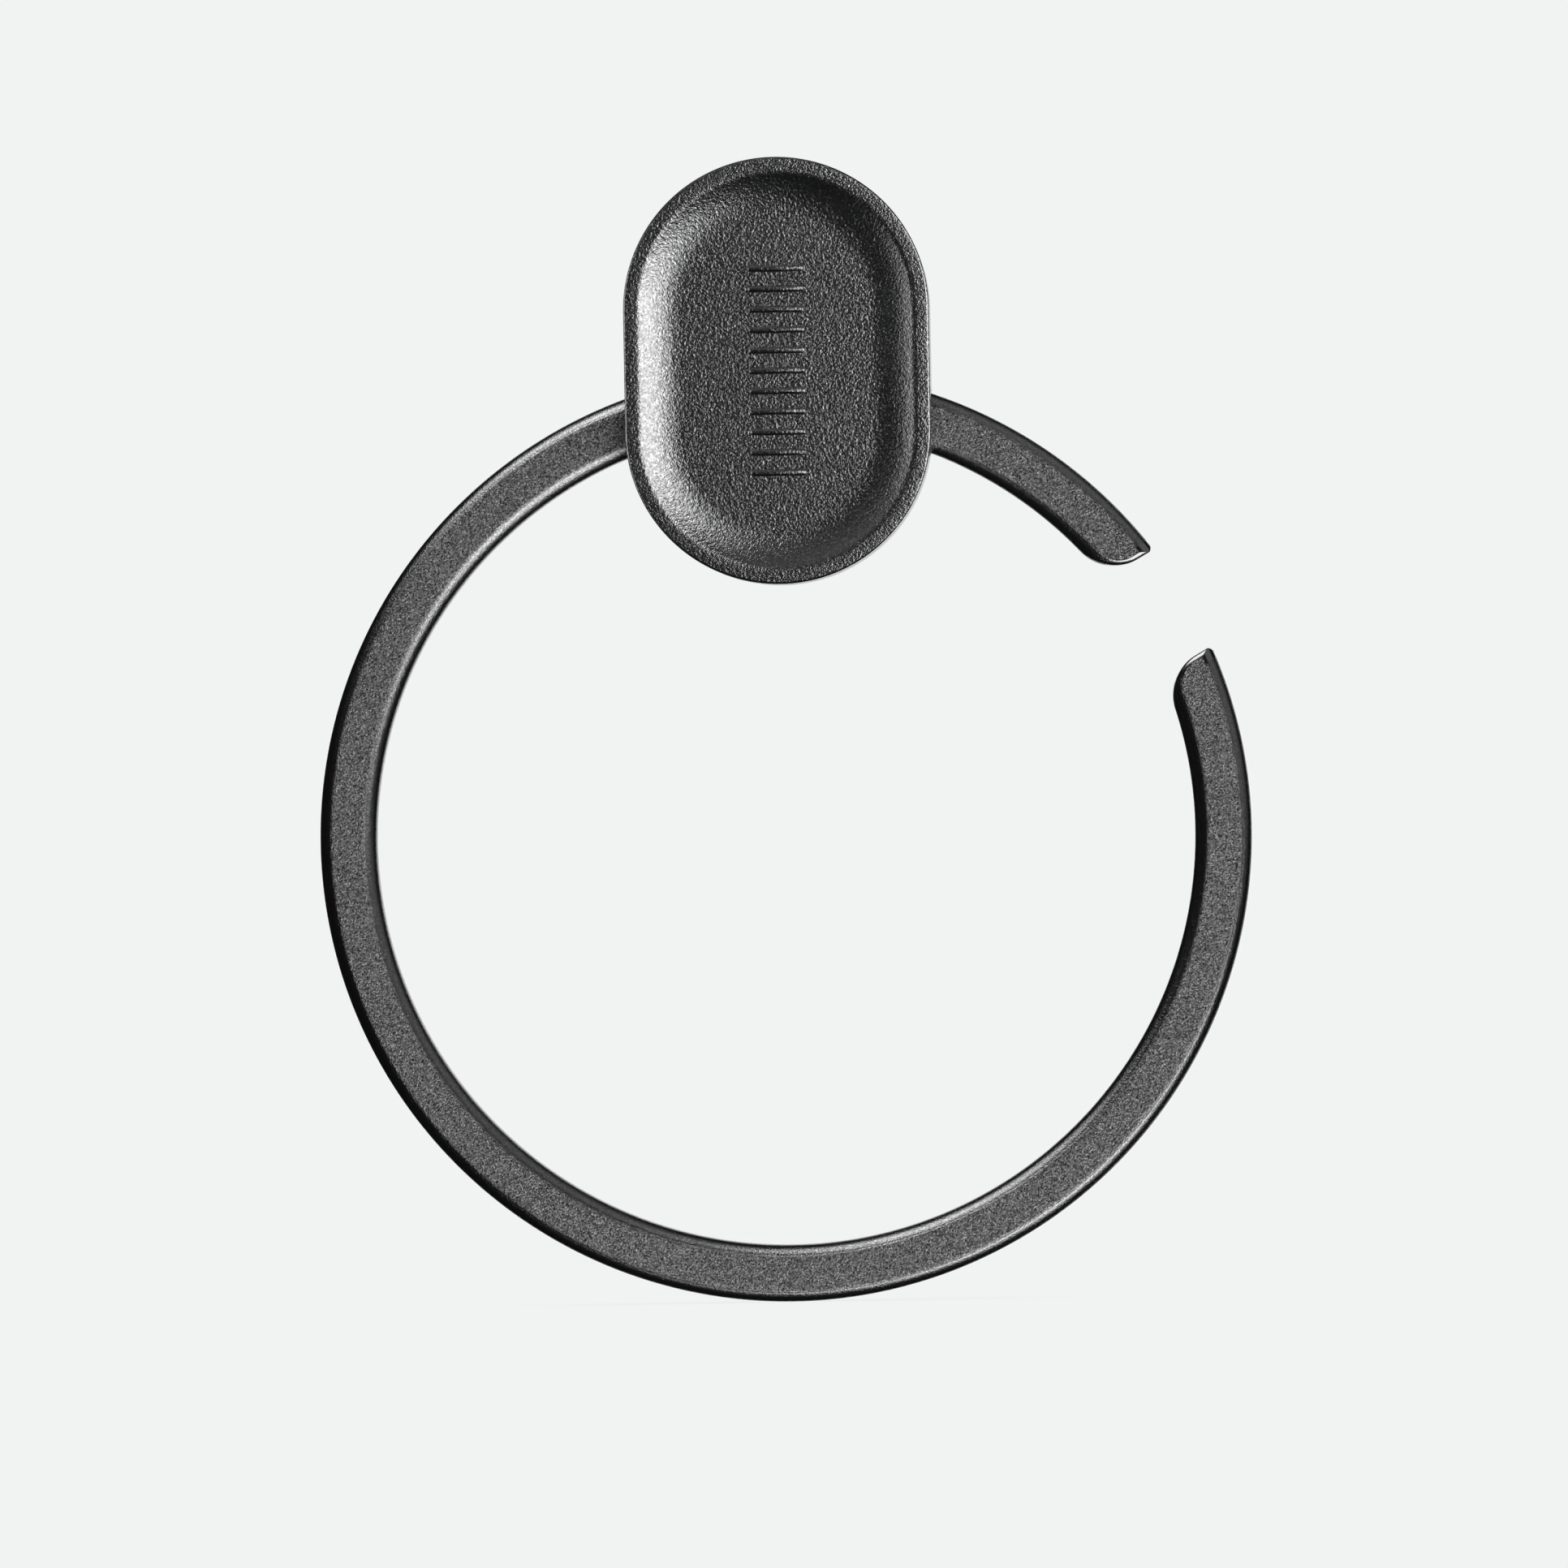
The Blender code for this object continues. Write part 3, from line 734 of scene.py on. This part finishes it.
def make_shells(settings):
    grip = settings.key_ring_grip
    coating = grip_coating(settings.key_ring_finish)
    tree = shell_tree()
    for name, node, angle in (("front_shell_casting", "grip_front_shell", 0.0),
                              ("back_shell_casting", "grip_back_shell", pi)):
        piece = run_geometry(name, tree, {
            "End Radius": grip.end_r, "Straight": grip.straight, "Seam": grip.seam,
            "Seam Bevel": grip.seam_bevel, "Face": grip.face, "Edge Radius": grip.edge_r,
            "Crown Width": grip.crown_width, "Crown Fall": grip.crown_fall,
            "Crown Radius": grip.crown_r, "Rim Width": grip.rim_width, "Lip Radius": grip.lip_r,
            "Dish Depth": grip.dish_depth, "Wall Angle": grip.wall_angle,
            "Centre Height": SHELL_CENTRE_Z, "Turn": angle, "Round Steps": grip.round_steps,
            "Edge Steps": grip.edge_steps, "Material": coating})
        cut(piece, grip_cutters(grip, settings.key_ring_band, settings.key_ring_latch))
        smooth(piece)
        lit_group("grip_light").objects.link(piece)
        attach(piece, "grip")
        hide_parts(node)


def rib_tree():
    """A column of capsules, half sunk in the floor of the dish."""
    names = ("Pitch", "Length", "Width", "Height", "Floor", "Centre Height")
    tree, given, output = new_geometry_tree(
        "rib_row", [("Count", "NodeSocketInt")] + [(name, "NodeSocketFloat") for name in names]
        + [("Material", "NodeSocketMaterial")])
    half_width = math(tree, "MULTIPLY", given["Width"], 0.5)
    ball = add_node(tree, "GeometryNodeMeshUVSphere",
                    {"Segments": 24, "Rings": 12, "Radius": 1.0}).outputs[0]
    girth = vector(tree, X=half_width, Y=given["Height"], Z=half_width)
    bead = add_node(tree, "GeometryNodeTransform", {"Geometry": ball, "Scale": girth}).outputs[0]
    reach = math(tree, "SUBTRACT", math(tree, "MULTIPLY", given["Length"], 0.5), half_width)
    past_middle = math(tree, "ADD", own_position(tree)["X"], WELD)
    side = math(tree, "SIGN", math(tree, "SNAP", past_middle, 2 * WELD))  # 0 in the middle
    shift = math(tree, "MULTIPLY", side, reach)
    capsule = add_node(tree, "GeometryNodeSetPosition",
                       {"Geometry": bead, "Offset": vector(tree, X=shift)}).outputs[0]

    span = math(tree, "MULTIPLY", math(tree, "SUBTRACT", given["Count"], 1.0), given["Pitch"])
    low = math(tree, "SUBTRACT", given["Centre Height"], math(tree, "MULTIPLY", span, 0.5))
    start = vector(tree, Y=math(tree, "MULTIPLY", given["Floor"], -1.0), Z=low)
    row = add_node(tree, "GeometryNodeMeshLine",
                   {"Count": given["Count"], "Start Location": start,
                    "Offset": vector(tree, Z=given["Pitch"])}, mode="OFFSET").outputs[0]
    ribs = add_node(tree, "GeometryNodeInstanceOnPoints",
                    {"Points": row, "Instance": capsule}).outputs[0]
    finish_geometry(tree, given, output, ribs)
    return tree


def make_ribs(settings):
    ribs, grip = settings.key_ring_ribs, settings.key_ring_grip
    piece = run_geometry("thumb_ribs", rib_tree(), {
        "Count": ribs.number, "Pitch": ribs.pitch, "Length": ribs.length, "Width": ribs.width,
        "Height": ribs.height, "Floor": grip.face - grip.dish_depth,
        "Centre Height": SHELL_CENTRE_Z, "Material": bpy.data.materials["grip_coating"]})
    smooth(piece)
    lit_group("grip_light").objects.link(piece)
    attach(piece, "grip")


# Latch and hidden hardware ---------------------------------------------------------

def spring_tree():
    """A pair of coils, each swept along a helix."""
    names = ("Wire Radius", "Coil Radius", "Height", "Turns", "Spread")
    tree, given, output = new_geometry_tree(
        "spring_pair", [(name, "NodeSocketFloat") for name in names]
        + [("Foot", "NodeSocketVector"), ("Material", "NodeSocketMaterial")])
    helix = add_node(tree, "GeometryNodeCurveSpiral",
                     {"Resolution": 40, "Rotations": given["Turns"],
                      "Start Radius": given["Coil Radius"], "End Radius": given["Coil Radius"],
                      "Height": given["Height"]}).outputs[0]
    ring = add_node(tree, "GeometryNodeCurvePrimitiveCircle",
                    {"Resolution": 16, "Radius": given["Wire Radius"]}).outputs[0]
    coil = add_node(tree, "GeometryNodeCurveToMesh",
                    {"Curve": helix, "Profile Curve": ring, "Fill Caps": True}).outputs[0]
    feet = add_node(tree, "GeometryNodeMeshLine",
                    {"Count": 2, "Start Location": given["Foot"],
                     "Offset": vector(tree, X=given["Spread"])}, mode="OFFSET").outputs[0]
    pair = add_node(tree, "GeometryNodeInstanceOnPoints",
                    {"Points": feet, "Instance": coil}).outputs[0]
    finish_geometry(tree, given, output, pair)
    return tree


def make_springs(settings, steel):
    latch = settings.key_ring_latch
    centre = (SPRING_LOW + SPRING_HIGH) / 2
    right_low, right_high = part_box("latch_spring_right")
    piece = run_geometry("latch_spring_pair", spring_tree(), {
        "Wire Radius": latch.wire_r,
        "Coil Radius": (SPRING_HIGH.x - SPRING_LOW.x) / 2 - latch.wire_r,
        "Height": SPRING_HIGH.z - SPRING_LOW.z - 2 * latch.wire_r, "Turns": latch.turns,
        "Spread": (right_low.x + right_high.x) / 2 - centre.x,
        "Foot": (centre.x, centre.y, SPRING_LOW.z + latch.wire_r), "Material": steel})
    smooth(piece)
    lit_group("grip_light").objects.link(piece)
    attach(piece, "grip")
    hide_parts("latch_spring_left", "latch_spring_right")


def make_hardware(settings):
    """Finishes what the closed grip hides: liners, dowels, latch and springs."""
    steel = plain_coating("ground_steel", (0.56, 0.56, 0.57), roughness=0.28, metallic=1.0,
                          grain=0.05 * MM, relief=0.002 * MM)
    acetal = plain_coating("black_acetal", (0.012, 0.012, 0.012), roughness=0.4, metallic=0.0,
                           grain=0.1 * MM, relief=0.004 * MM)
    for name in [*DOWELS, "latch"]:
        paint(frame["nodes"][name], steel)
    for name in ("liner_front", "liner_back"):
        paint(frame["nodes"][name], acetal)
    make_springs(settings, steel)


def paint(node, coating):
    node.data.materials.clear()
    node.data.materials.append(coating)
    lit_group("grip_light").objects.link(node)


# Stage -----------------------------------------------------------------------------

GROUND_HALF = 3.0  # metres from the middle of the ground to its edge
LIGHT_DISTANCE = 0.30
BACK_DISTANCE = 0.40


def stage_material(stage):
    """Even pale ground for the camera, with a soft shade where something touches it."""
    made, tree, shader = new_material("pale_ground")
    tree.nodes.remove(shader)
    shade = add_node(tree, "ShaderNodeAmbientOcclusion", {"Distance": stage.contact_reach},
                     samples=8).outputs["AO"]
    lift = add_node(tree, "ShaderNodeMapRange",
                    {"Value": shade, "To Min": stage.contact_shade}).outputs[0]
    seen = add_node(tree, "ShaderNodeEmission", {"Color": (*stage.ground, 1), "Strength": lift})
    tree.links.new(seen.outputs[0], tree.nodes["Material Output"].inputs["Surface"])
    return made


def lit_group(name):
    """The collection of pieces that one set of lights shines on."""
    return bpy.data.collections.get(name) or bpy.data.collections.new(name)


def set_world(ground, glow):
    """The same pale colour behind everything, and a dim glow for reflections."""
    world = bpy.data.worlds.new("studio")
    bpy.context.scene.world = world
    world.use_nodes = True
    tree = world.node_tree
    seen = tree.nodes["Background"]
    seen.inputs["Color"].default_value = (*ground, 1)
    dim = add_node(tree, "ShaderNodeBackground", {"Color": (1, 1, 1, 1), "Strength": glow})
    camera_ray = add_node(tree, "ShaderNodeLightPath").outputs["Is Camera Ray"]
    mixed = add_node(tree, "ShaderNodeMixShader",
                     {0: camera_ray, 1: dim.outputs[0], 2: seen.outputs[0]})
    tree.links.new(mixed.outputs[0], tree.nodes["World Output"].inputs["Surface"])


def soft_light(name, azimuth, polar, width, height, radiance, group=None,
               distance=LIGHT_DISTANCE):
    """A panel aimed at the ring. Azimuth turns in the ring's plane, 0 to the right and 90
    up; polar is the angle from the front. A group names the only pieces it lights."""
    a, p = radians(azimuth), radians(polar)
    outward = Vector((sin(p) * cos(a), -cos(p), sin(p) * sin(a)))
    panel = bpy.data.lights.new(name, "AREA")
    panel.shape = "RECTANGLE"
    panel.size = width
    panel.size_y = height
    panel.energy = radiance * pi * width * height
    made = bpy.data.objects.new(name, panel)
    bpy.context.scene.collection.objects.link(made)
    made.location = AXIS + outward * distance
    made.rotation_euler = outward.to_track_quat("Z", "Y").to_euler()
    made.visible_camera = False
    if group:
        made.light_linking.receiver_collection = lit_group(group)


def set_lights():
    """A key, a side and a fill panel for the grip, the same three turned for the band, two
    that draw the grip's sides, and one behind everything."""
    for group, turned, key, side in (("grip_light", 8, 5.4, 2.4), ("band_light", -57, 3.6, 3.6)):
        soft_light(group + "_key", turned, polar=43, width=0.26, height=0.23, radiance=key,
                   group=group)
        soft_light(group + "_side", turned + 169, polar=71, width=0.22, height=0.20,
                   radiance=side, group=group)
        soft_light(group + "_fill", turned + 98, polar=72, width=0.34, height=0.50,
                   radiance=0.28, group=group)
    for azimuth in (0, 180):
        soft_light("grip_surround", azimuth, polar=118, width=0.26, height=0.26, radiance=0.35,
                   group="grip_light")
    soft_light("back_panel", 0, polar=172, width=0.35, height=0.35, radiance=1.2,
               distance=BACK_DISTANCE)


def make_stage(settings):
    stage = settings.key_ring_stage
    scene = bpy.context.scene
    scene.view_settings.view_transform = "Standard"
    scene.view_settings.look = "None"

    shape = bmesh.new()
    bmesh.ops.create_grid(shape, x_segments=1, y_segments=1, size=GROUND_HALF)
    ground = add_shape("ground", shape)
    ground.data.materials.append(stage_material(stage))
    ground.visible_diffuse = ground.visible_glossy = ground.visible_shadow = False
    set_world(stage.ground, stage.glow)
    set_lights()

    camera = bpy.data.cameras.new("camera")
    camera.sensor_width = 36.0
    camera.lens = camera.sensor_width * stage.distance / stage.view_width
    camera.clip_start = 0.01
    made = bpy.data.objects.new("camera", camera)
    scene.collection.objects.link(made)
    turned = Matrix.Rotation(stage.swing, 4, "Z") @ Matrix.Rotation(pi / 2, 4, "X")
    target = AXIS + Vector((stage.aim_x, BAND_LOW.y, stage.aim_z))
    made.matrix_world = (Matrix.Translation(target) @ turned @ Matrix.Rotation(-stage.roll, 4, "Z")
                         @ Matrix.Translation((0, 0, stage.distance)))
    scene.camera = made


# Operators -------------------------------------------------------------------------

class KEYRING_OT_stage(bpy.types.Operator):
    """Set up the ground, the lights and the camera"""
    bl_idname = "keyring.stage"
    bl_label = "Stage"

    def execute(self, context):
        make_stage(context.scene)
        return {"FINISHED"}


class KEYRING_OT_band(bpy.types.Operator):
    """Build the coated band with its rounded edges and split"""
    bl_idname = "keyring.band"
    bl_label = "Band"

    def execute(self, context):
        make_band(context.scene)
        return {"FINISHED"}


class KEYRING_OT_shells(bpy.types.Operator):
    """Build the two dished shells of the grip"""
    bl_idname = "keyring.shells"
    bl_label = "Grip Shells"

    def execute(self, context):
        make_shells(context.scene)
        return {"FINISHED"}


class KEYRING_OT_ribs(bpy.types.Operator):
    """Build the row of thumb ribs on the front dish"""
    bl_idname = "keyring.ribs"
    bl_label = "Thumb Ribs"

    def execute(self, context):
        make_ribs(context.scene)
        return {"FINISHED"}


class KEYRING_OT_hardware(bpy.types.Operator):
    """Finish the liners, dowels, latch and springs inside the grip"""
    bl_idname = "keyring.hardware"
    bl_label = "Hidden Hardware"

    def execute(self, context):
        make_hardware(context.scene)
        return {"FINISHED"}


class KEYRING_PT_panel(bpy.types.Panel):
    """Lists the pieces and their settings"""
    bl_label = "Split Key Ring"
    bl_idname = "KEYRING_PT_panel"
    bl_space_type = "VIEW_3D"
    bl_region_type = "UI"
    bl_category = "Key Ring"

    def draw(self, context):
        for operator in OPERATORS:
            self.layout.operator(operator.bl_idname)
        for name, group in SETTINGS.items():
            column = self.layout.box().column(align=True)
            for field in group.__annotations__:
                column.prop(getattr(context.scene, name), field)


SETTINGS = {
    "key_ring_stage": KeyRingStage,
    "key_ring_band": KeyRingBand,
    "key_ring_grip": KeyRingGrip,
    "key_ring_ribs": KeyRingRibs,
    "key_ring_latch": KeyRingLatch,
    "key_ring_finish": KeyRingFinish,
}
OPERATORS = (KEYRING_OT_stage, KEYRING_OT_band, KEYRING_OT_shells, KEYRING_OT_ribs,
             KEYRING_OT_hardware)


def register():
    for cls in (*SETTINGS.values(), *OPERATORS, KEYRING_PT_panel):
        bpy.utils.register_class(cls)
    for name, group in SETTINGS.items():
        setattr(bpy.types.Scene, name, PointerProperty(type=group))


def unregister():
    for name in SETTINGS:
        delattr(bpy.types.Scene, name)
    for cls in (KEYRING_PT_panel, *reversed(OPERATORS), *reversed(list(SETTINGS.values()))):
        bpy.utils.unregister_class(cls)


def main():
    register()
    bpy.ops.keyring.stage()
    bpy.ops.keyring.band()
    bpy.ops.keyring.shells()
    bpy.ops.keyring.ribs()
    bpy.ops.keyring.hardware()


if __name__ == "__main__":
    main()
